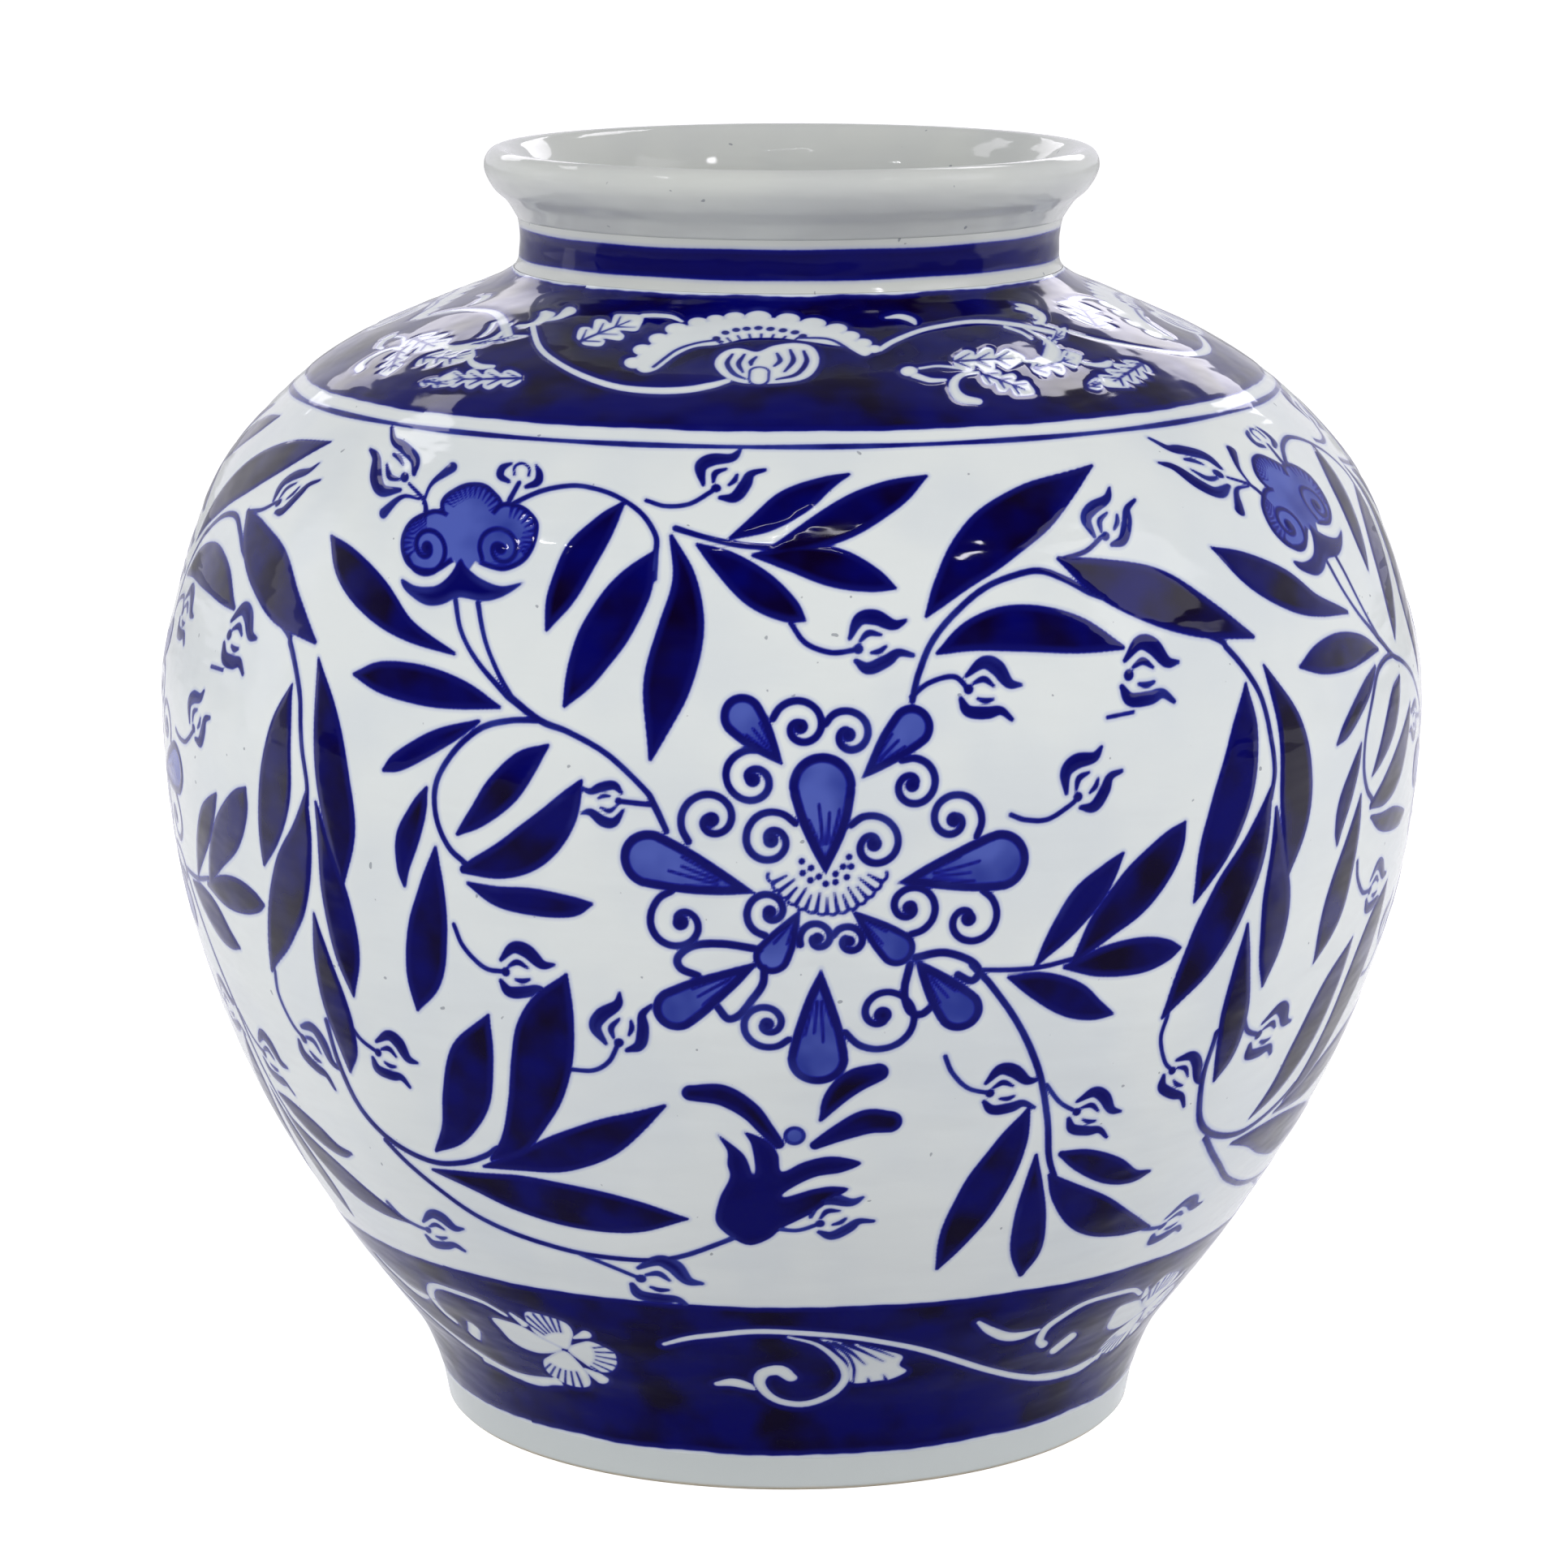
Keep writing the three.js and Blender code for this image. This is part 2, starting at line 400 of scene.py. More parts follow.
def poppy():
    first_mark = len(MARKS)
    for points in (
        [(-76.2, 238), (-75.8, 241), (-73.3, 243.4), (-70, 245.1), (-65.8, 245.3), (-62.9, 243.7),
         (-60.5, 240.5), (-61.5, 234), (-67, 229), (-73, 232)],
        [(-76.7, 238.2), (-80, 237.4), (-84.2, 234.9), (-86.4, 231.2), (-86.3, 227.8), (-84.2, 224.9),
         (-80.4, 223.7), (-76.7, 224.1), (-73.3, 226.2), (-70.8, 228.3), (-70.5, 233), (-73, 237)],
        [(-62, 240.5), (-58.3, 241.3), (-55, 240.3), (-52.5, 237.8), (-52.1, 235.3), (-53.3, 231.2),
         (-55.8, 227.8), (-60, 225.8), (-64.2, 226.2), (-67.5, 227.4), (-69.5, 229.2), (-66, 235)],
    ):
        area(points, border=1.35, load=0.7)
    area([(-74.5, 236.5), (-68, 240), (-61, 236.5), (-61.5, 231.5), (-65.6, 227.6), (-69.4, 226.4),
          (-72.6, 227.2), (-73.6, 231.5)], does="lift")
    for heart, first, last, count, lobe in (
        ((-68.2, 236.5), 30, 150, 12, 0), ((-79.3, 230.6), 100, 215, 10, 1), ((-60.2, 233.4), -35, 75, 10, 2),
    ):
        heart, rim = np.array(heart), MARKS[first_mark + lobe].line
        for k in range(count):
            out = direction(first + (last - first) * k / (count - 1))
            edge = rim[np.argmax((rim - heart) @ out / np.hypot(*(rim - heart).T))]
            reach = np.hypot(*(edge - heart)) - 0.9
            stroke([heart + reach * out, heart + (reach - 2.9) * out], (0.62, 0.2), load=0.8)
    scroll((-79.3, 229.2), (-84.6, 227), 500, 0.72)
    scroll((-61, 230.6), (-65.4, 228), -470, 0.72)
    area([(-74, 231), (-64.5, 231), (-67.2, 227), (-69.2, 224.6), (-71, 224.6), (-72.4, 227)], does="wash")
    area([(-85.6, 222.4), (-81.7, 221.2), (-76.7, 221.6), (-73.3, 224.1), (-70.8, 227.8), (-69.2, 226.2),
          (-65.8, 224.1), (-60.8, 222.8), (-55.8, 223.8), (-60, 220.8), (-65, 219.3), (-70.8, 219.5),
          (-75, 217.8), (-79.2, 217.4), (-83.3, 219.1), (-85.4, 220.8)], load=0.5)
    for points, widths in (
        ([(-80, 237), (-81, 240), (-85.5, 243.3)], (0.8, 0.6, 0.5)),
        ([(-81, 239), (-79, 244), (-74, 248.5)], (0.4, 0.6, 1.3)),
        ([(-82, 240), (-87, 240), (-92, 235.5)], (0.4, 0.6, 1.3)),
        ([(-59.2, 241.6), (-57.1, 246.2)], (0.7, 0.6)),
        ([(-59.6, 246.2), (-61.7, 247.4), (-61.3, 249.5), (-59.2, 250.8)], (0.6, 1, 0.9, 0.4)),
        ([(-55.4, 245.3), (-52.9, 246.6), (-52.5, 248.7), (-53.3, 250.8)], (0.6, 1, 0.9, 0.4)),
        ([(-58.4, 248), (-58.4, 250), (-56.7, 251), (-55, 250), (-55, 248)], 0.4),
        ([(-71.7, 219), (-70.4, 212.8), (-66.7, 207), (-60, 200.7)], (0.7, 0.6, 0.6, 0.7)),
        ([(-66.2, 219), (-64.6, 211.2), (-62, 205.3), (-58.8, 200.3)], (0.7, 0.6, 0.6, 0.7)),
    ):
        stroke(points, widths)


def branches():
    """The leafy branches, each a thin stem and its brush-stroke leaves."""
    stroke([(-59.5, 200.5), (-52.3, 196), (-45.9, 194), (-37.7, 190), (-30, 183.2), (-28, 180),
            (-25.5, 175)], (0.9, 0.8, 0.7, 0.7, 0.7, 0.8, 0.7))
    stroke([(-59, 240.5), (-52, 244.5), (-45, 246.2), (-40, 245.8), (-35, 244), (-30, 240.3), (-27, 235.3),
            (-27, 231.2), (-27.5, 226)], 0.65)
    leaf([(-34, 242.5), (-38, 237), (-43, 230), (-47.5, 221.5), (-50.5, 214.5)], (2.6, 3.8, 3), 0.6)
    leaf([(-27.5, 231.5), (-32, 224), (-37.5, 215.5), (-42.5, 207), (-46.8, 199.3)], (4, 5, 3.6))
    leaf([(-23.8, 235.5), (-21.2, 226), (-22.3, 215), (-25.4, 204), (-28.8, 189.5)], (2.6, 4.8, 4.8))
    # the branch that curls round on itself
    stroke([(-52.3, 196), (-58.6, 195.5), (-66, 193.2), (-72.3, 187.7), (-76.4, 181.4), (-76.4, 174),
            (-73.6, 168.2), (-69.5, 165)], 0.7)
    leaf([(-66, 194.8), (-73, 191.5), (-80, 188), (-86, 184.6), (-90, 182.4)], (1.9, 2.3, 2))
    leaf([(-78.8, 180), (-81, 175), (-84, 168.5), (-85.3, 162.5), (-85, 158.5)], (2.2, 3, 1.8))
    leaf([(-50.5, 191), (-56, 186.5), (-61, 181), (-66.5, 175.3), (-71.3, 171)], (3, 3.7, 2.4))
    leaf([(-43.3, 184.3), (-47.5, 177.5), (-53.5, 170.8), (-61, 166.3), (-70, 163.8)],
         (3.4, 4.8, 3.8), tip=1)
    leaf([(-69, 161), (-62, 158.8), (-54, 158.3), (-46, 158), (-41.3, 158.8)], (2.2, 3, 2.3))
    leaf([(-76.8, 167.7), (-78, 158), (-79.3, 149), (-80.3, 140), (-82.5, 130.7)], (3.4, 5, 4.8))
    leaf([(-107.7, 228.8), (-101, 222.8), (-93, 217.5), (-84, 211.8), (-72, 208)], (4.4, 5, 2.6))
    leaf([(-98.3, 201.3), (-90, 201.3), (-80, 200.8), (-70, 199.8), (-61.3, 198)], (3.4, 4.2, 3))
    # the four-leaf spray under the shoulder
    stroke([(-22.9, 237.2), (-16.7, 235.3), (-10, 233.8), (-3.3, 233.3)], (0.8, 0.7, 0.8, 0.8))
    leaf([(-11.7, 235.2), (-4.5, 239.5), (1.5, 244), (7.5, 248), (12.5, 250.5)], (2.8, 3.6, 2))
    leaf([(-6.3, 231.2), (3, 235), (12, 240), (20.5, 245), (28.7, 249.7)], (3, 4.5, 3.8))
    leaf([(-7, 231.5), (1, 231), (9, 229), (16, 226.5), (21.3, 224.4)], (3.2, 4.4, 3), 0.6)
    leaf([(-18.5, 233.7), (-12.5, 229.5), (-6.5, 224.5), (-1, 220.5), (2.7, 218)], (3, 4.1, 2.8))
    # the arching branch on the right and its drooping leaves
    stroke([(24.2, 201.2), (25.8, 207), (28.3, 212.8), (33.3, 218.7), (39.2, 223.2), (45, 225.7),
            (51.7, 226.6), (57.5, 224.5), (63.3, 221.2)], 0.75)
    stroke([(63.3, 221.2), (93.3, 209.5), (98.3, 206.2), (104, 200.5), (107.7, 195), (110, 186.8),
            (111.4, 179.5), (110.5, 174)], 0.75)
    leaf([(56.5, 228.8), (67, 223.8), (79, 219.3), (92, 213.3), (106.3, 207.8)], (4.2, 5.8, 4.2), 0.6)
    leaf([(27.5, 218.3), (33, 225.5), (41.5, 234), (52, 241), (66.3, 249.5)], (3.5, 6.5, 6))
    leaf([(29.6, 210.8), (38, 214.3), (48, 215), (59, 213), (70.5, 209.3)], (3.6, 5, 4), tip=0.6)
    leaf([(103, 198.6), (102, 188), (99, 176), (94, 165), (89, 154.5)], (4.2, 5.8, 4.4))
    leaf([(110.5, 176), (106.3, 165), (99.5, 154), (91.5, 142), (82, 129)], (3.7, 5.9, 5), 0.6)
    leaf([(-109.3, 203), (-106.8, 192), (-104.7, 180), (-102.8, 168), (-102.3, 156)], (3.6, 5.2, 4.6))
    leaf([(-110, 173), (-107.4, 162.5), (-104.5, 152), (-102, 141.5), (-100.5, 131)], (2.4, 4.3, 4))
    leaf([(105, 147), (104, 137), (103.3, 127), (102, 118), (99.2, 109.8)], (2.8, 4.4, 3.6))
    # the spray to the right of the medallion
    stroke([(38.6, 144.8), (50.5, 144.3), (60, 145.5)], 0.6)
    leaf([(51, 145), (56.5, 152), (62, 158.5), (66.5, 163), (70.3, 167)], (2.8, 3.7, 2.4))
    leaf([(59, 144.5), (66, 152), (74.5, 159.5), (81.5, 166.5), (85.8, 172)], (3.6, 5.3, 3.8))
    leaf([(57.5, 143.8), (66, 144), (75, 144.3), (81, 144.5), (85.5, 144.6)], (3.3, 4.2, 2.9), 0.6)
    leaf([(45, 142.8), (52, 140.2), (59, 136.6), (64.5, 133.5), (69.2, 131.8)], (3.2, 4.2, 2.6))
    # the spray that hangs at the lower right
    stroke([(37, 146), (41, 141.5), (46, 134), (50.5, 125), (53.5, 117), (55, 108), (56, 98), (58, 91)],
           0.85)
    leaf([(50.6, 110.8), (46.8, 101.5), (41.5, 90.5), (36, 79), (31.8, 68.2)], (3.8, 5.2, 4), 0.6)
    leaf([(53, 98.5), (52.7, 90), (52.4, 80), (52.2, 71), (51.3, 63.3)], (2.4, 4, 3.8), tip=0.8)
    leaf([(56.5, 92.5), (61, 86), (68, 79), (76, 74.3), (86, 70.3)], (3.8, 6, 4.2), 0.6)
    leaf([(59, 98), (65, 95), (72, 91), (78, 88), (83, 88.3)], (3.2, 3.8, 2), 0.9)


def vine():
    """The long vine that runs under the medallion, from one copy to the next."""
    stroke([(-110.5, 123), (-108, 113), (-103, 103), (-96, 96.5), (-88, 92.8), (-80, 91.5), (-73, 93),
            (-67, 96), (-64, 98.5)], 0.8)
    stroke([(-95, 94.5), (-89, 89.5), (-81, 84), (-72, 78.5), (-63, 75), (-53, 72.5), (-43, 71), (-30, 71),
            (-21, 73.5), (-11, 79.5)], 0.75)
    leaf([(-80, 94.8), (-74.5, 101.5), (-71, 111), (-69.2, 121), (-64.7, 132)], (3.6, 6, 5.4))
    leaf([(-65.5, 95.3), (-59.5, 101), (-55, 111.5), (-52.8, 122), (-51, 132), (-47, 143)],
         (3.4, 5.6, 7, 6), 0.6)
    leaf([(-67.5, 93), (-58, 96), (-48, 99.8), (-38, 105.2), (-26, 113.8)], (2.8, 5, 4.6))
    leaf([(-81.5, 89.2), (-70, 88.2), (-58, 86.6), (-45, 84.8), (-33, 83.8), (-21.3, 84.2)],
         (2.8, 5.4, 6.3, 4.8))


def thistle():
    area([(-9, 77.2), (-4, 79), (-1, 82.5), (5, 86.5), (9.5, 90.5), (12.3, 93), (9, 93.9), (5, 93.2),
          (-0.5, 91), (-1, 92), (5, 96.3), (11, 97.5), (15, 100), (9, 101.9), (3, 100.6), (-1.5, 98),
          (-2.3, 102.5), (-4.5, 106), (-9.4, 108.2), (-8, 105), (-7.2, 99.5), (-7.6, 97), (-8.8, 101),
          (-10.5, 103.5), (-14.9, 107.2), (-13, 103), (-13, 99.5), (-12.5, 96), (-14.5, 90), (-15, 83)],
         load=0.9)
    dot(1, 107.2, 2.4, border=1.0, load=0.5)
    leaf([(-20.5, 117.3), (-14, 117), (-8.5, 113.5), (-5, 109), (-2.3, 105.2)], (2.6, 2.3, 1.8), 2, 1.3)
    leaf([(6.2, 111), (8.8, 116), (13, 120.5), (18, 122.5)], (2.3, 3), tip=2.2)
    leaf([(5.3, 104.8), (10.5, 108), (16, 110.3), (20.5, 110.1)], (2.3, 3.1), 1.2, 2.8)


# ---- the painting, blue bands


def white(points, widths=None):
    """A stroke, or an area when it has no widths, where the blue band is left white."""
    stroke(points, widths, does="clear")


def lobed_leaf(stem, tip, width, lobes=3):
    """A white leaf with rounded lobes on both sides and thin blue veins."""
    stem, along, across = axes(stem, tip)
    sides = []
    for side in (1, -1):
        edge = []
        for k in range(lobes):
            wide = width * (1.0 - 0.55 * abs(k - (lobes - 1) * 0.45) / lobes)
            for u, v in ((0.02, 0.42), (0.55, 1.0), (0.95, 0.8)):
                at = (k + u) / (lobes + 0.6)
                edge.append(stem + at * along + side * v * wide * across)
        sides.append(edge)
    white([stem, *sides[0], tip, *reversed(sides[1])])
    stroke([stem, stem + 0.8 * along], (0.5, 0.25), load=0.5)
    for side in (1, -1):
        for k in range(lobes):
            start = stem + (k + 0.05) / (lobes + 0.6) * along
            end = stem + (k + 0.75) / (lobes + 0.6) * along + side * 0.55 * width * across
            stroke([start, end], (0.4, 0.22), load=0.5)


def lower_band():
    for points in (
        [(-50.4, 36.6), (-57, 39.5), (-59.6, 43.3), (-60, 48.2), (-55, 48.3), (-50, 47), (-48.3, 44),
         (-48.8, 40.3)],
        [(-50, 36.8), (-45.8, 40.8), (-43.3, 41.2), (-40, 39.5), (-38.3, 37.8), (-38.2, 33.7), (-40, 30.5),
         (-43.3, 30.3), (-46.7, 32.8)],
        [(-51, 35.8), (-55.8, 32), (-57, 29.5), (-56.3, 26.2), (-53.3, 24), (-49.2, 23), (-45.4, 24),
         (-45, 27), (-47, 31.2)],
        [(-51.5, 36.3), (-57, 39.5), (-61.7, 42.2), (-66.7, 43), (-70.4, 42.4), (-68.3, 38.7),
         (-65.8, 35.3), (-61.7, 33.3), (-56.7, 33.3)],
    ):
        white(points)
    white([(-64.5, 46.4), (-61, 43.4)], (0.4, 1.1))
    white([(-48, 41.8), (-45, 43.8)], (0.4, 1.4))
    white([(-46, 30), (-42, 27.4)], (0.5, 1.7))
    heart = np.array([-50.4, 36.2])
    for first, last, near, far in ((97, 140, 7, 14), (-38, 22, 7.5, 14), (235, 285, 8, 14.5)):
        for k in range(6):
            out = direction(first + (last - first) * k / 5)
            stroke([heart + near * out, heart + far * out], (0.3, 0.42), load=0.5)
    white([(-54.2, 23.5), (-58.3, 21.6), (-62.5, 21.2), (-68.3, 22), (-77, 23.2)], (1.1, 1, 0.9, 0.8, 0.8))
    white([(-26.7, 43.7), (-21.7, 46.2), (-16.7, 47.8), (-8.3, 49.5), (0, 49.5), (11.7, 47.8), (20, 45.3),
           (28.3, 41.6), (36.7, 36.2), (45, 30.3), (53.3, 25.3), (61.7, 22.2), (70, 21.6), (80, 23)],
          (0.5, 0.7, *[0.8] * 5, 0.85, 0.9, 0.95, 1, 1.05, 1.1, 1))
    white([(0, 47.8), (5.8, 45.3), (10, 40.3), (12.3, 35.3), (12.1, 31.2), (9.2, 26.6), (4.2, 23.7),
           (-0.8, 24.1), (-4.2, 26.6), (-6, 31), (-5, 34.9), (-1.7, 36), (0.8, 33.3)],
          (0.3, 0.5, 0.7, *[0.9] * 5, 1, 1.2, 1.5, 1.7, 1.3))
    white([(-15.3, 30.2), (-12, 31), (-9, 30), (-7.3, 28.6)], (0.7, 1.4, 1.2, 0.3))
    white([(13.8, 30.8), (20, 31), (22.5, 31.3), (25.8, 33.7), (24.2, 36.2), (24.8, 39.5), (20.8, 42),
           (18, 43.5), (14.2, 45), (15, 43.4), (10.5, 46), (6.7, 47), (9, 45), (10.8, 42), (13, 38)])
    for points, widths in (
        ([(8.2, 46), (12.3, 41.6), (14.2, 36.5), (14.2, 31)], (0.45, 0.4, 0.4, 0.3)),
        ([(9.6, 45.4), (13.4, 42), (16.6, 37.3)], (0.75, 0.55, 0.2)),
        ([(12, 45.2), (16.2, 42), (20.6, 38)], (0.7, 0.5, 0.2)),
        ([(15.6, 44.6), (19.6, 42), (23, 39.4)], (0.5, 0.4, 0.2)),
        ([(17.6, 30.6), (17.4, 32.2)], (0.5, 0.2)), ([(21.4, 31), (20.8, 33)], (0.5, 0.2)),
    ):
        stroke(points, widths, load=0.5)
    white([(42.1, 48.8), (45, 45.3), (49.2, 42), (53.3, 41.2), (57.5, 42)], (0.5, 1.2, 1.5, 1.3, 0.5))
    white([(59.6, 35.8), (58.3, 37.8), (59.6, 42), (64.2, 45.8), (69.2, 48.3), (75, 49.1), (85, 48.2),
           (89, 45.3)], (1.2, 1.1, 1, 0.9, *[0.8] * 4))
    white([(63.3, 32.4), (67.9, 36.2)], 1.4)


def shoulder_band():
    palmette()
    oak_leaf()
    white([(20, 290.4), (23.3, 294.2), (28.3, 297.5), (33.3, 299.3), (40, 300.4), (46.7, 299.6),
           (54.2, 297.1), (63.3, 292.9)], (0.7, *[0.8] * 7))
    white([(-60, 296.7), (-55.8, 288.3), (-50.8, 283.3), (-43.3, 278.3), (-35, 275), (-26.7, 274.3),
           (-20, 275), (-15, 276.7), (-11.7, 278.3)], (0.8, 0.8, 0.8, 0.9, 1, 1.1, 1.1, 1, 0.7))
    white([(-31.3, 304.2), (-28.3, 304.6), (-25, 304.2), (-22.5, 302.3)], (0.9, 0.9, 0.8, 0.4))
    white([(-57.5, 298.3), (-53.3, 300.4), (-50.8, 303.8)], (0.4, 0.9, 1.9))
    white([(21.3, 304.2), (24.2, 304.6), (26.7, 302.9), (27.7, 300.8)], (0.4, 1.1, 1, 0.4))
    white([(54.6, 304.2), (58.3, 302.9), (61.3, 300), (60.8, 297.7), (58.8, 297.3)],
          (0.5, 1.3, 1.4, 1.2, 0.5))
    white([(50, 297.1), (54.2, 294.2), (56.7, 291.3)], 0.5)
    white([(26.3, 281.3)], 1.9)
    white([(27.5, 279.6), (30.8, 277.7), (34.2, 277.5)], (1, 0.8, 0.5))
    white([(28.8, 282.3), (33.3, 282.9), (40, 280.8)], 0.45)
    white([(41.7, 279.6), (38.3, 279.2), (36.3, 276.7), (36.3, 273.3), (37.9, 270.8), (41.4, 269.6)],
          (0.5, 0.8, 1, 1.2, 1.4, 1))
    for stem, tip, width, lobes in (
        ((36.5, 284.5), (54, 284), 5.2, 3), ((43, 279), (55, 271), 3.4, 3),
        ((55.5, 279.5), (70, 282.5), 4.6, 3), ((69.5, 272), (80, 272.6), 2.2, 2),
        ((60, 288), (68, 294), 2.2, 2),
    ):
        lobed_leaf(stem, tip, width, lobes)


def palmette():
    lobes = ((-32, 284.2, 2.2), (-30.4, 289.6, 2.2), (-27, 294.2, 2.4), (-23.3, 298.8, 2.6),
             (-18.8, 302, 2.3), (-15, 303.8, 2), (-11.1, 305, 2.2), (-6.3, 305, 2.8), (0, 304.2, 2.6),
             (5.4, 302, 2.8), (10.4, 299.6, 2.4), (13.3, 296.3, 2.3), (16.3, 293.3, 2), (18.8, 290.8, 1.6))
    inner = ((16.7, 288), (13, 291.5), (9, 293), (3.5, 294.8), (-2, 296), (-8, 295.6), (-12.5, 293.5),
             (-15, 292.5), (-19.2, 291.3), (-23.3, 287.5), (-26.7, 282), (-30, 280.7))
    white([*((x, s) for x, s, _ in lobes), *inner])
    for x, s, r in lobes:
        white([(x, s)], r)
    stroke([(-27.5, 283), (-23.5, 289.5), (-19, 293), (-15, 294.5), (-13.3, 294)], 0.45, load=0.4)
    stroke([(2.6, 296), (8.6, 295.4), (12.2, 292.3), (14.6, 288.5)], 0.45, load=0.4)
    for x, s in ((-14.6, 295.4), (-12.7, 297.9), (-10.4, 299.2), (-8.2, 299.8), (-5.8, 300.2),
                 (-3.3, 299.8), (-0.7, 299.2), (1.8, 298.3), (3.5, 296.7)):
        dot(x, s, 0.95, load=0.5)
    centre = np.array([-5.0, 283.0])
    for k in range(9):
        out = direction(50 + 10 * k)
        stroke([centre + 11.5 * out, centre + 14.6 * out], 0.34, load=0.5)
    bulb = [(-13.8, 288.3), (-11.7, 290.8), (-9.2, 291.3), (-5.8, 290), (-2.5, 292.5), (1.7, 293.8),
            (5.4, 292.5), (7.1, 288.3), (6.7, 283.3), (4.2, 279.2), (-1.7, 277.5), (-8.3, 277.5),
            (-12.5, 280), (-14.6, 284.2)]
    area([(x + 0.06 * (x + 4), s + 0.06 * (s - 285)) for x, s in bulb], load=0.9)
    white(bulb)
    for points in (
        [(-11, 289), (-12, 285), (-10.5, 281), (-8, 279)], [(-8.5, 289), (-9.6, 285), (-8.6, 281.5)],
        [(4, 290.5), (4.6, 286), (2.5, 281), (-1.5, 279)], [(1.2, 291), (1.8, 286.5), (0, 282)],
        [(-1.6, 289.5), (-1, 286.5), (-2.2, 284.2)], [(-6, 288), (-7, 286), (-7, 284.4)],
    ):
        stroke(points, (0.35, *[0.62] * (len(points) - 2), 0.35), load=0.6)
    stroke([(-5.2, 278.8), (-5.2, 281.8)], 2.3, border=0.7, load=0.5)
    white([(-5.2, 278.9), (-5.2, 281.7)], 1.7)


def oak_leaf():
    lobed_leaf((-45.6, 291.5), (-31.5, 304), 5.4)
    lobed_leaf((-90, 284.2), (-99.5, 281), 4.4)
    white([(-66.7, 295.8), (-70, 289.2), (-75, 285.8), (-82.5, 283.3), (-89.2, 285)],
          (0.5, 0.9, 1.4, 1.2, 0.4))
    white([(-75, 284.2), (-74.2, 280), (-70.8, 278.3), (-66.7, 278.8)], (0.5, 0.9, 1, 0.5))
    lobed_leaf((-58.5, 275.6), (-82, 272.4), 3.6, 4)


LOWER_BAND = (8.9, 57.8)
SHOULDER_BAND = (262.0, 313.0)
THIN_LINE = (258.0, 0.7)  # where it is and its half-width
LOAD_SPREAD = 0.9  # a mark's load holds this far outside its edge
LINE_LOAD = 0.5
BAND_LOAD = 0.95

for paint in (medallion, buds, poppy, branches, vine, thistle, lower_band, shoulder_band):
    paint()

# ---- the painter


def wobble(x, s, seed, size, wave):
    """A smooth shake of the brush: two offsets, in millimetres, that change over about wave."""
    rng = np.random.default_rng(seed)
    dx = ds = 0.0
    for _ in range(4):
        a = rng.uniform(0, 2 * math.pi)
        k = 2 * math.pi / (wave * rng.uniform(0.7, 1.5))
        turn = k * (x * math.cos(a) + s * math.sin(a))
        dx += np.sin(turn + rng.uniform(0, 6.3))
        ds += np.sin(turn + rng.uniform(0, 6.3))
    return dx * size / 2, ds * size / 2


class Paint:
    """The paint on a set of wall points: az and s in, ink, wash and load out."""

    def __init__(self, az, s):
        self.az, self.s, self.r = az, s, on_body(s)[0]
        band = np.full(az.shape, -EDGE_LIMIT)
        shake = wobble(az * 100, s, 3, 0.18, 30)[1] + 0.1 * np.sin(az * 61) * np.sin(az * 23)
        for low, high in (LOWER_BAND, SHOULDER_BAND):
            band = np.maximum(band, np.minimum(s - low + shake, high - s + shake))
        line_s, line_w = THIN_LINE
        tilt = 0.35 * np.sin(az - 0.7)
        band = np.maximum(band, line_w + 0.12 * np.sin(az * 17) - np.abs(s - line_s - tilt))
        self.ink = np.clip(band, -EDGE_LIMIT, EDGE_LIMIT)
        self.wash = np.full(az.shape, -EDGE_LIMIT)
        self.load = np.where(np.abs(s - line_s) < 2, LINE_LOAD, BAND_LOAD)
        for copy in range(4):
            self.quarter(copy)

    def quarter(self, copy):
        """Lays the whole painting once, shaken a little differently on each side of the vase."""
        turn = (self.az - copy * QUARTER + math.pi) % (2 * math.pi) - math.pi
        x = turn * self.r
        near = np.flatnonzero(np.abs(turn) < COPY_REACH)
        x, s = x[near], self.s[near]
        slow = wobble(x, s, 20 + copy, 1.6 if copy else 0.0, 90)
        quick = wobble(x, s, 40 + copy, 0.1, 17)
        x, s = x + slow[0] + quick[0], s + slow[1] * np.clip((s - 60) / 40, 0.15, 1) + quick[1]
        order = np.argsort(s, kind="stable")
        near, x, s = near[order], x[order], s[order]
        for mark in MARKS:
            first, last = np.searchsorted(s, (mark.low[1], mark.high[1]))
            hit = first + np.flatnonzero((x[first:last] > mark.low[0]) & (x[first:last] < mark.high[0]))
            if len(hit):
                self.lay(mark, near[hit], mark.depth(x[hit], s[hit]))

    def lay(self, mark, at, depth):
        """Changes the paint at some points by one mark."""
        depth = np.clip(depth, -EDGE_LIMIT, EDGE_LIMIT)
        ink, wash = self.ink[at], self.wash[at]
        covers = depth > np.maximum(ink, -LOAD_SPREAD)
        if mark.does == "ink":
            ink = np.maximum(ink, depth)
        elif mark.does == "border":
            rim = np.minimum(depth, mark.border - depth)
            ink = np.maximum(np.minimum(ink, mark.border - depth), rim)
            wash = np.maximum(wash, depth)
        elif mark.does == "clear":
            ink, wash = np.minimum(ink, -depth), np.minimum(wash, -depth)
        elif mark.does == "lift":
            ink = np.minimum(ink, -depth)
        elif mark.does == "wash":
            wash = np.maximum(wash, depth)
        self.ink[at], self.wash[at] = ink, wash
        if mark.does in ("ink", "border"):
            self.load[at] = np.where(covers, mark.load, self.load[at])

    def height(self):
        """How far the paint stands proud: thick ink swells from its edge like a drop."""
        rise = np.clip((self.ink + 0.5) / 2.0, 0, 1)
        swell = RELIEF * rise**2 * (3 - 2 * rise) * (0.35 + 0.65 * self.load)
        return swell + 0.25 * RELIEF * np.clip((self.wash + 0.2) / 1.5, 0, 1)


# ---- meshes


def grid(rows, columns):
    """Two flat arrays of the values at each point of a grid, numbered row by row."""
    return [values.ravel() for values in np.meshgrid(rows, columns, indexing="ij")]


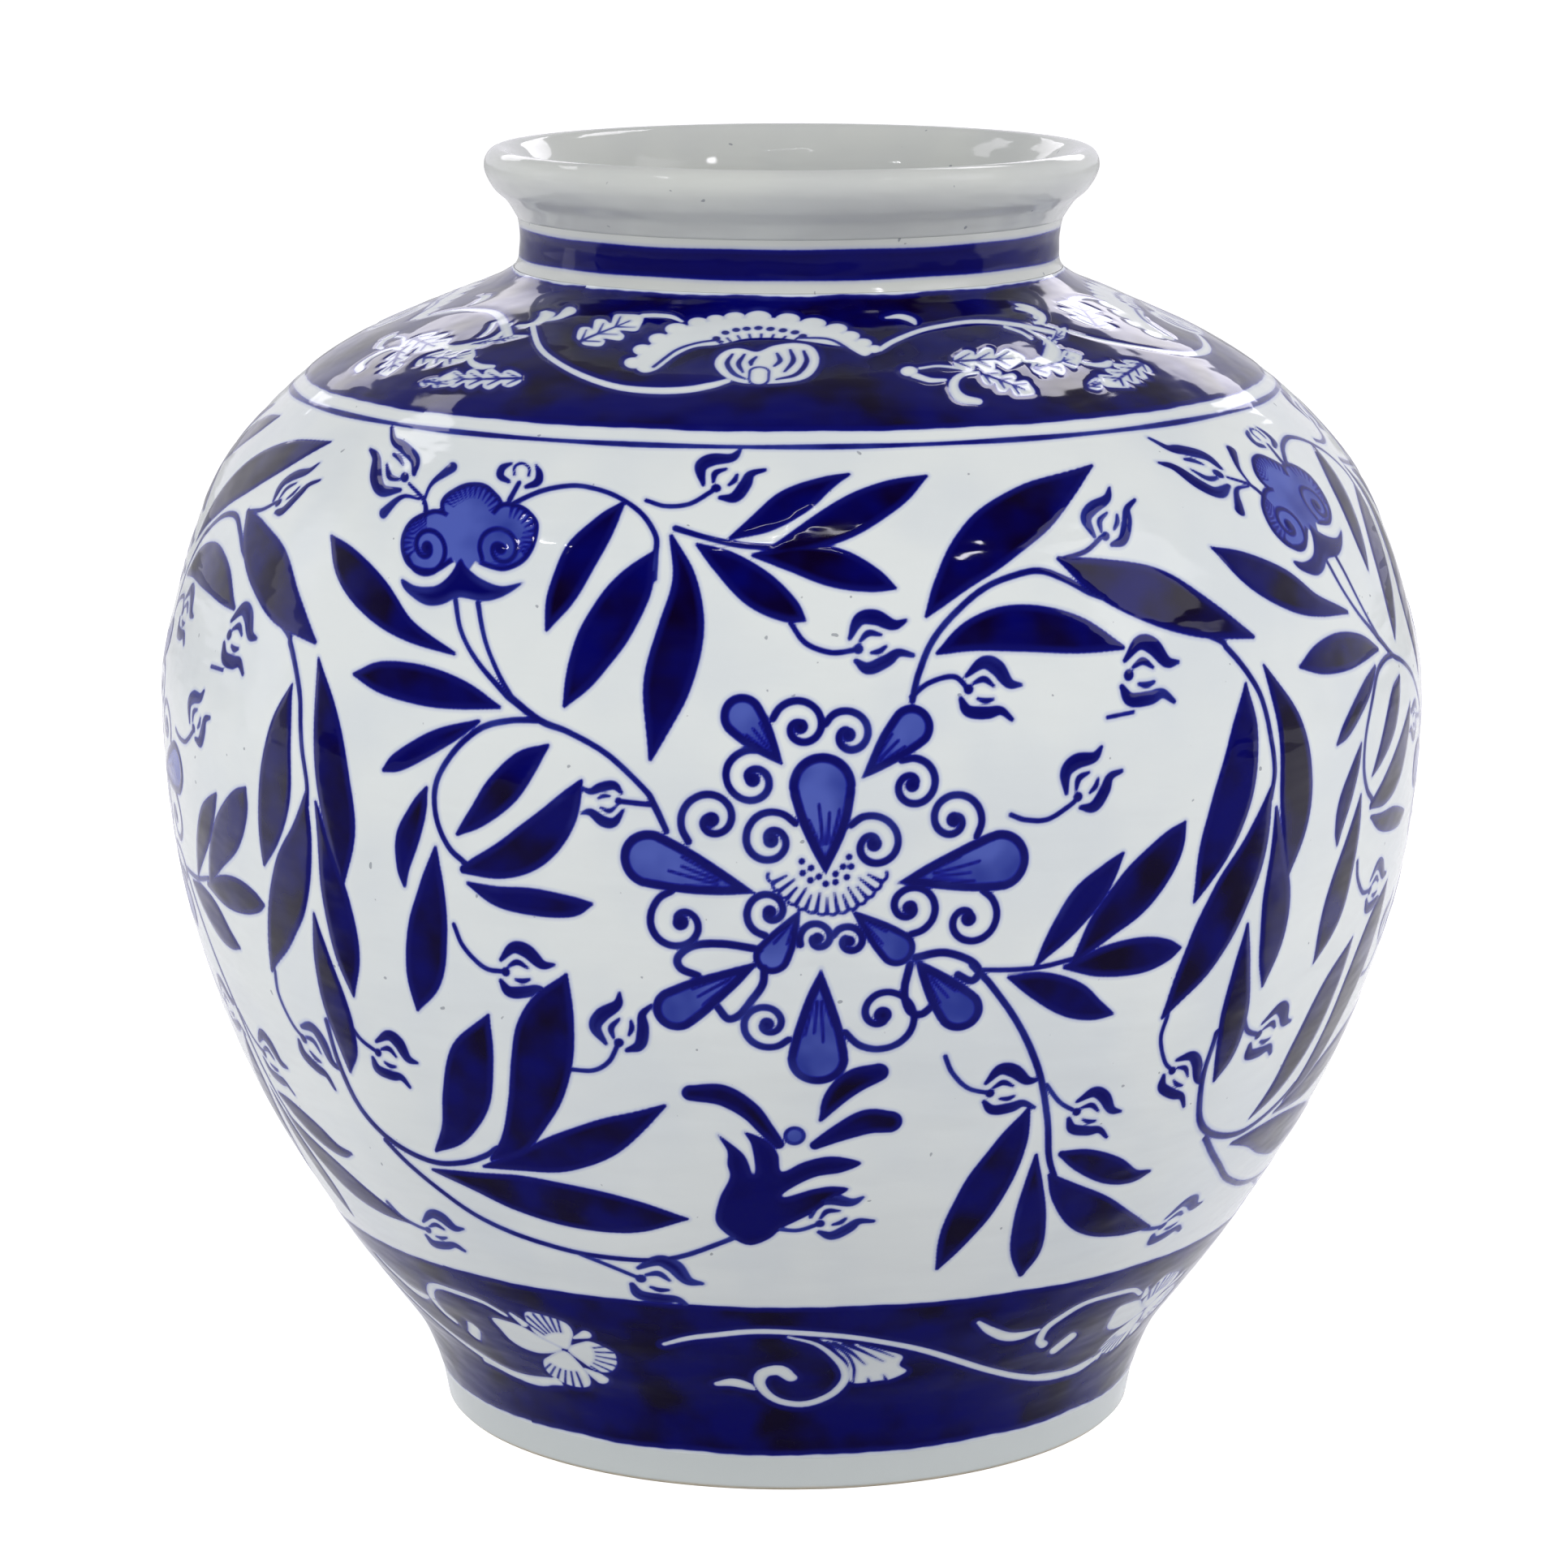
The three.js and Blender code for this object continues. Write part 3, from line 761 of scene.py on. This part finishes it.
def make_mesh(name, points, faces, smooth=None, **values):
    """A piece from arrays of points and faces, with numbers kept on its points."""
    mesh = bpy.data.meshes.new(name)
    sizes = np.array([len(f) for f in faces], np.int32)
    loops = np.concatenate(faces)
    if smooth is None:
        smooth = np.ones(len(sizes), bool)
    mesh.vertices.add(len(points))
    mesh.vertices.foreach_set("co", np.asarray(points, np.float32).ravel())
    mesh.loops.add(len(loops))
    mesh.loops.foreach_set("vertex_index", loops.astype(np.int32))
    mesh.polygons.add(len(sizes))
    mesh.polygons.foreach_set("loop_start", (np.cumsum(sizes) - sizes).astype(np.int32))
    mesh.polygons.foreach_set("use_smooth", smooth)
    mesh.update(calc_edges=True)
    mesh.validate()
    mesh.set_sharp_from_angle(angle=math.radians(40))
    for key, value in values.items():
        mesh.attributes.new(key, "FLOAT", "POINT").data.foreach_set("value", value.astype(np.float32))
    piece = bpy.data.objects.new(name, mesh)
    SCENE.collection.objects.link(piece)
    return piece


def grid_faces(rows, columns, start=0, closed=False):
    """Quads over a grid of points numbered row by row, which may be closed both ways."""
    open_edge = 0 if closed else 1
    i, j = grid(np.arange(rows - open_edge), np.arange(columns - open_edge))
    here, up = (start + (i + k) % rows * columns for k in (0, 1))
    side = (j + 1) % columns
    return np.stack([here + j, here + side, up + side, up + j], axis=-1)


def wheel_marks(az, s):
    """Faint rings and swells left by throwing and by the glaze."""
    rings = 0.5 * np.sin(s / 3.1 + 0.6 * np.sin(az)) + 0.8 * np.sin(s / 11 + 1.3 * np.sin(az + 1))
    swells = np.sin(3 * az + s / 25) * np.sin(s / 17 + 2 * az)
    return THROWING * (0.35 * rings + 0.8 * swells)


def wall_panel(name, sector, low, high):
    """A quarter turn of the body's wall between two stations, as a closed solid."""
    columns = int(QUARTER * on_body(np.linspace(low, high, 50))[0].max() / GRID) + 1
    rows = int((high - low) / GRID) + 1
    az1 = np.linspace(-QUARTER / 2, QUARTER / 2, columns) + sector * QUARTER
    s, az = grid(np.linspace(low, high, rows), az1)
    paint = Paint(az, s)
    out = paint.height() + wheel_marks(az, s)
    r, z, nr, nz = on_body(s)
    outer = place(az, r + out * nr, z + out * nz)
    inner_rows = 9
    s, az = grid(np.linspace(low, high, inner_rows), az1)
    r, z, nr, nz = on_body(s)
    least = np.where(z < FLOOR_JOINT_Z, FLOOR_EDGE, SLEEVE)
    wall = np.minimum(WALL, (r - least) / np.maximum(nr, 0.05))
    inner = place(az, r - wall * nr, z - wall * nz)
    n, m = rows * columns, inner_rows * columns
    bottom = np.arange(columns)
    top, in_bottom, in_top = bottom + n - columns, bottom + n, bottom + n + m - columns
    ends = [np.stack([a[:-1], b[:-1], b[1:], a[1:]], axis=-1)
            for a, b in ((bottom, in_bottom), (in_top, top))]
    left = np.concatenate([np.arange(0, n, columns)[::-1], np.arange(n, n + m, columns)])
    right = np.concatenate([np.arange(columns - 1, n, columns),
                            np.arange(n + columns - 1, n + m, columns)[::-1]])
    quads = np.vstack([grid_faces(rows, columns), grid_faces(inner_rows, columns, n)[:, ::-1], *ends])
    smooth = np.zeros(len(quads) + 2, bool)
    smooth[:(rows - 1) * (columns - 1) + (inner_rows - 1) * (columns - 1)] = True
    bare = np.full(m, -EDGE_LIMIT)
    return make_mesh(name, np.vstack([outer, inner]), [*quads, left, right], smooth,
                     ink=np.concatenate([paint.ink, bare]), wash=np.concatenate([paint.wash, bare]),
                     load=np.concatenate([paint.load, np.zeros(m)]))


def turned_piece(name, loop, step, ink=None, columns=480):
    """A whole ring or disc turned from a section. ink(r, z, az) says where it is painted."""
    outline = turned_outline(loop, step)
    if loop[0][0] == 0:
        outline = np.vstack([loop[0], outline[outline[:, 0] > step], loop[-1]])
    row, az = grid(np.arange(len(outline)), np.linspace(0, 2 * math.pi, columns, endpoint=False))
    r, z = outline[row].T
    bare = np.full(len(r), -EDGE_LIMIT)
    depth = np.clip(ink(r, z, az), -EDGE_LIMIT, EDGE_LIMIT) if ink else bare
    points = place(az, r + 0.5 * RELIEF * np.clip(depth / 1.5, 0, 1), z)
    return make_mesh(name, points, grid_faces(len(outline), columns, closed=True), ink=depth,
                     wash=bare, load=np.full(len(r), RING_LOAD))


# ---- materials


def plug(made, inputs):
    """Sets a node's inputs, each to a number or colour of its own or to a link."""
    for key, value in inputs.items():
        if isinstance(value, bpy.types.NodeSocket):
            made.id_data.links.new(value, made.inputs[key])
        else:
            made.inputs[key].default_value = value


def node(tree, kind, inputs, **settings):
    """Adds a shader node with its settings and inputs, and gives its outputs."""
    made = tree.nodes.new("ShaderNode" + kind)
    for key, value in settings.items():
        setattr(made, key, value)
    plug(made, inputs)
    return made.outputs


def fit(value, low, high, to_low=0.0, to_high=1.0):
    """A number eased from one range to another."""
    inputs = {0: value, 1: low, 2: high, 3: to_low, 4: to_high}
    return node(value.id_data, "MapRange", inputs, interpolation_type="SMOOTHSTEP")[0]


def plus(a, b):
    return node(a.id_data, "Math", {0: a, 1: b}, operation="ADD")[0]


def times(a, b):
    return node(a.id_data, "Math", {0: a, 1: b}, operation="MULTIPLY")[0]


def blend(share, a, b):
    """Colour a turned into colour b by a share."""
    return node(share.id_data, "Mix", {0: share, 6: a, 7: b}, data_type="RGBA")[2]


def colour(*screen):
    """A screen colour, 0 to 255, as Blender's linear one."""
    parts = (c / 255 for c in screen)
    return (*(c / 12.92 if c <= 0.04045 else ((c + 0.055) / 1.055) ** 2.4 for c in parts), 1.0)


def noise(position, scale, detail=2.0, roughness=0.5):
    inputs = {"Vector": position, "Scale": scale, "Detail": detail, "Roughness": roughness}
    return node(position.id_data, "TexNoise", inputs)[0]


def bump(height, strength, distance):
    inputs = {"Height": height, "Strength": strength, "Distance": distance}
    return node(height.id_data, "Bump", inputs)[0]


def start_material(name):
    material = bpy.data.materials.new(name)
    material.use_nodes = True
    tree = material.node_tree
    shader = tree.nodes["Principled BSDF"]
    position = node(tree, "TexCoord", {})["Object"]
    return material, tree, shader, position


def glaze_material(name, white, shade):
    """Glaze that drifts between two whites, with the cobalt painting melted into it."""
    material, tree, shader, position = start_material(name)
    ink, wash, load = (node(tree, "Attribute", {}, attribute_name=n)["Fac"]
                       for n in ("ink", "wash", "load"))
    ragged = times(plus(noise(position, 700), -0.5), 0.12)
    ink = plus(ink, ragged)
    lying = node(tree, "Mapping", {0: position, 3: (1, 1, 3)})[0]
    pools = noise(position, 80, 2, 0.4)
    drift = noise(position, 35)
    body = blend(fit(drift, 0.35, 0.7), white, shade)
    specks = fit(noise(position, 420, 1), 0.78, 0.81, 0, 0.6)
    body = blend(specks, body, colour(110, 116, 130))
    halo = fit(ink, -1.0, 0.1, 0, 0.34)
    body = blend(halo, body, colour(120, 138, 212))
    thin = blend(fit(pools, 0.35, 0.68), colour(48, 62, 154), colour(84, 100, 188))
    body = blend(fit(wash, -0.15, 0.5), body, thin)
    brushed = plus(load, times(plus(pools, -0.5), 1.5))
    pale = blend(fit(brushed, 0.1, 0.8), colour(60, 76, 172), colour(30, 36, 158))
    line = blend(fit(brushed, 0.1, 0.8), colour(44, 52, 142), colour(14, 14, 104))
    deep = blend(fit(brushed, 0.7, 1.3), colour(4, 4, 98), colour(10, 0, 36))
    cobalt = blend(fit(ink, 0.0, 0.55), pale, line)
    cobalt = blend(fit(ink, 0.7, 2.0), cobalt, deep)
    cover = fit(ink, -0.2, 0.22)
    ripple = plus(noise(lying, 42, 2, 0.45), times(noise(lying, 130, 1), 0.07))
    plug(shader, {"Base Color": blend(cover, body, cobalt),
                  "Roughness": fit(pools, 0.3, 0.7, 0.045, 0.085),
                  "Normal": bump(ripple, 0.6, 0.0012),
                  "IOR": 1.52, "Specular IOR Level": 0.27})
    return material


def bare_clay_material():
    """The unglazed foot: warm, dry and grainy, with the glaze's lower edge just above it."""
    material, tree, shader, position = start_material("fired_clay")
    grain = noise(position, 900, 4)
    patches = noise(position, 60, 3)
    clay = blend(fit(patches, 0.3, 0.7), colour(226, 218, 200), colour(212, 200, 176))
    clay = blend(fit(grain, 0.62, 0.75, 0, 0.5), clay, colour(168, 140, 104))
    height = node(tree, "SeparateXYZ", {0: position})[2]
    glazed = fit(plus(height, times(patches, 0.0012)), 0.0009, 0.0018)
    dry = times(grain, plus(times(glazed, -1.0), 1.0))
    plug(shader, {"Base Color": blend(glazed, clay, colour(222, 228, 226)),
                  "Roughness": fit(glazed, 0.2, 0.8, 0.75, 0.07),
                  "Normal": bump(dry, 0.5, 0.0004)})
    return material


def floor_material():
    """A white sweep: bright where it is looked at, and softer in what it throws back."""
    material, tree, shader, position = start_material("pale_floor")
    tone = blend(noise(position, 3), colour(246, 246, 246), colour(242, 242, 243))
    path = node(tree, "LightPath", {})
    seen = path["Is Camera Ray"]
    _, away, _ = node(tree, "SeparateXYZ", {0: position})
    behind = fit(away, -0.09, -0.01)
    mirrored = blend(behind, colour(136, 136, 144), colour(250, 250, 252))
    thrown = blend(path["Is Glossy Ray"], colour(234, 234, 236), mirrored)
    lift = times(times(behind, path["Is Glossy Ray"]), 0.3)
    glow = plus(times(seen, 0.9), lift)
    plug(shader, {"Base Color": blend(seen, thrown, tone), "Roughness": 0.85,
                  "Emission Color": WHITE, "Emission Strength": glow})
    return material


# ---- building the vase


def finished(piece, material, slot, *nodes):
    piece.data.materials.append(material)
    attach(piece, "root")
    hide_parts(*nodes)


def build_body(glaze):
    joint = BODY_S[BODY[:, 0].argmax()]
    half = (FOOT_S + joint) / 2
    shoulder = 243.0
    fields = (("lower_wall", FOOT_S, half, "lower_body"), ("belly_wall", half, joint, "lower_body"),
              ("upper_wall", joint, shoulder, "upper_body"),
              ("shoulder_wall", shoulder, BODY_TOP_S, "upper_body"))
    for name, low, high, node_name in fields:
        for sector, side in enumerate(("front", "right", "back", "left")):
            piece = wall_panel(f"{name}_{side}", sector, low, high)
            finished(piece, glaze, "white_glaze", node_name)


NECK_RING = (262.1, 268.8)
COLLAR_OUTSIDE = 58.8


def collar_ink(r, z, az):
    """The blue ring round the outside of the neck, as the distance in from its edge."""
    low, high = NECK_RING
    ring = np.minimum(z - low, high - z) + 0.12 * np.sin(az * 9) * np.sin(az * 4)
    return np.minimum(ring, r - COLLAR_OUTSIDE)


def build_rings(glaze, clay):
    for name, loop, step, ink, material, slot, cad in (
        ("foot", section("foot_ring"), 0.6, None, clay, "bare_clay", "foot_ring"),
        ("inside_floor", disc_section("base_disc"), 1.0, None, glaze, "white_glaze", "base_disc"),
        ("neck", glazed_over(section("neck_collar")), 0.4, collar_ink, glaze, "white_glaze", "neck_collar"),
        ("lip", section("rim_lip"), 0.5, None, glaze, "white_glaze", "rim_lip"),
    ):
        finished(turned_piece(name, loop, step, ink), material, slot, cad)


# ---- studio

# Soft boxes: name, direction from the vase, distance, width, height, power. The first ones
# light the vase, and the others are also mirrored in its glaze.
UNSEEN_BOXES = (
    ("key", (0.12, -0.8, 0.58), 2.4, 1.6, 1.6, 9),
    ("key_left", (-0.62, -0.52, 0.58), 2.4, 1.6, 1.6, 12),
    ("key_right", (0.66, -0.5, 0.56), 2.4, 1.6, 1.6, 11),
    ("fill_low", (0, -1, 0.06), 2.4, 1.6, 0.5, 3),
    ("fill_left", (-0.9, -0.3, 0.12), 2.4, 1.4, 1.4, 15),
    ("fill_right", (0.9, -0.15, 0.1), 2.4, 1.4, 1.4, 10),
)
MIRRORED_BOXES = (
    ("back_panel_right", (0.32, 0.8, 0.42), 1.8, 0.7, 0.35, 2.2),
    ("back_panel_left", (-0.32, 0.8, 0.42), 1.8, 0.7, 0.35, 1.4),
    ("back_top_right", (0.3, 0.57, 0.77), 1.5, 0.3, 0.26, 1.4),
    ("back_top_left", (-0.56, 0.42, 0.71), 1.5, 0.5, 0.16, 0.8),
    ("window_right", (0.8, -0.25, 0.55), 1.8, 0.7, 0.8, 3.2),
    ("strip_left", (-0.9, 0.25, 0.1), 1.8, 0.3, 1.4, 0.9),
    ("glint_right", (0.456, -0.489, 0.743), 1.6, 0.12, 0.05, 0.6),
    ("glint_left", (-0.58, -0.335, 0.743), 1.6, 0.12, 0.05, 0.6),
    ("glint_top", (0.02, -0.46, 0.887), 1.6, 0.5, 0.02, 0.8),
)
BOX_TINT = (0.98, 0.95, 1.0)
HAZE = (0.97, 0.96, 1.03, 1.0)


def soft_box(name, towards, distance, width, height, power):
    """A rectangular soft box that stands off in a direction and faces the vase."""
    lamp = bpy.data.lights.new(name, "AREA")
    lamp.shape = "RECTANGLE"
    lamp.size, lamp.size_y, lamp.energy = width, height, power
    holder = bpy.data.objects.new(name, lamp)
    away = Vector(towards).normalized()
    holder.location = Vector((0, 0, RIM_Z * MM / 2)) + away * distance
    holder.rotation_mode = "QUATERNION"
    holder.rotation_quaternion = away.to_track_quat("Z", "Y")
    SCENE.collection.objects.link(holder)
    return holder


def surroundings():
    """A pale haze behind the vase, darker in front of it and overhead, and white to the camera."""
    world = bpy.data.worlds.new("studio")
    SCENE.world = world
    world.use_nodes = True
    tree = world.node_tree
    towards = node(tree, "TexCoord", {})["Generated"]
    _, y, z = node(tree, "SeparateXYZ", {0: towards})
    glow = times(fit(y, -0.3, 0.7, 0.1, 0.9), fit(z, 0.3, 0.6, 1.0, 0.35))
    seen = node(tree, "LightPath", {})["Is Camera Ray"]
    haze = blend(glow, BLACK, HAZE)
    plug(tree.nodes["Background"], {"Color": blend(seen, haze, WHITE), "Strength": 1.0})


def studio():
    reach = 30
    corners = [(-reach, -reach, 0), (reach, -reach, 0), (reach, reach, 0), (-reach, reach, 0)]
    floor = make_mesh("floor", corners, np.array([[0, 1, 2, 3]]))
    floor.data.materials.append(floor_material())
    for box in UNSEEN_BOXES:
        soft_box(*box).visible_glossy = False
    for box in MIRRORED_BOXES:
        soft_box(*box).data.color = BOX_TINT
    surroundings()


def camera():
    """The eye stands in front, a little above the rim, and looks down on the vase."""
    lens = bpy.data.cameras.new("camera")
    lens.lens, lens.sensor_width = 122.24, 36.0
    eye = bpy.data.objects.new("camera", lens)
    eye.location = (-0.0008, -1.18607, 0.38018)
    eye.rotation_euler = (math.radians(90 - 11.38), 0, 0)
    SCENE.collection.objects.link(eye)
    SCENE.camera = eye


build_body(glaze_material("talavera_glaze", colour(237, 242, 240), colour(230, 236, 237)))
# The lip, neck and inside floor get a greyer, darker copy of the same glaze: partly the thicker glaze at the
# rim, partly painted shade for the darker rim, the neck under the lip and the inside floor.
build_rings(glaze_material("thick_rim_glaze_and_painted_shade", colour(216, 219, 214), colour(210, 213, 210)), bare_clay_material())
studio()
camera()
SCENE.view_settings.view_transform = "Standard"
